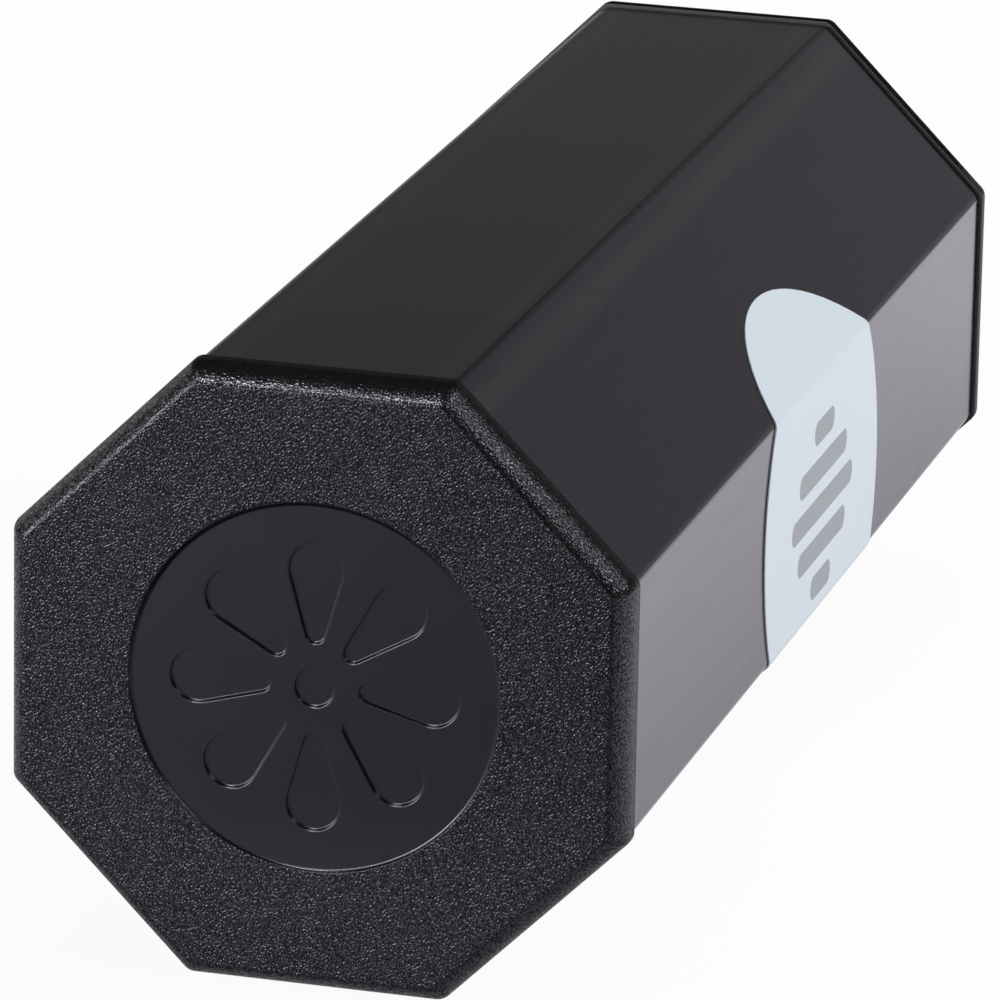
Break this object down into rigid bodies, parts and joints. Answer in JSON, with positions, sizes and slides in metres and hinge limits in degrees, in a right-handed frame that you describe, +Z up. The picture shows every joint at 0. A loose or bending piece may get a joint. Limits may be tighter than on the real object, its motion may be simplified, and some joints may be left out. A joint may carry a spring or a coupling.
{
  "type": "percussion shaker",
  "caption": "Octagonal metal tube closed by two moulded end caps, with loose steel shot inside that is shaken from end to end, and a round label folded over three flats.",
  "frame": {"origin": "middle of the shaker's length, below the tube's axis, on the surface that it rests on", "axes": "+Y along the tube from the front cap to the rear cap, +Z up from the resting flat, +X towards the label"},
  "size_m": [0.0506, 0.1276, 0.0506],
  "materials": {
    "tube": "black anodised, finely brushed along the tube",
    "cap": "black moulded plastic with a fine grain and a smooth recessed disc",
    "label": "pale silver film, printed in grey",
    "shot": "polished steel balls"
  },
  "bodies": {
    "shell": {"body_tube": "tube", "front_cap": "cap", "rear_cap": "cap", "label": "label"},
    "shot_layer1": {"shot_layer1_lane1": "shot", "shot_layer1_lane2": "shot", "shot_layer1_lane3": "shot", "shot_layer1_lane4": "shot", "shot_layer1_lane5": "shot"},
    "shot_layer2": {"shot_layer2_lane1": "shot", "shot_layer2_lane2": "shot", "shot_layer2_lane3": "shot", "shot_layer2_lane4": "shot", "shot_layer2_lane5": "shot", "shot_layer2_lane6": "shot"},
    "shot_layer3": {"shot_layer3_lane1": "shot", "shot_layer3_lane2": "shot", "shot_layer3_lane3": "shot", "shot_layer3_lane4": "shot", "shot_layer3_lane5": "shot", "shot_layer3_lane6": "shot", "shot_layer3_lane7": "shot"}
  },
  "joints": [
    {"name": "shot_layer1_slide", "type": "slide", "parent": "shell", "child": "shot_layer1", "axis": [0, 1, 0], "range_m": [-0.0292, 0.0292]},
    {"name": "shot_layer2_slide", "type": "slide", "parent": "shell", "child": "shot_layer2", "axis": [0, 1, 0], "range_m": [-0.0334, 0.0334]},
    {"name": "shot_layer3_slide", "type": "slide", "parent": "shell", "child": "shot_layer3", "axis": [0, 1, 0], "range_m": [-0.0436, 0.0436]}
  ]
}
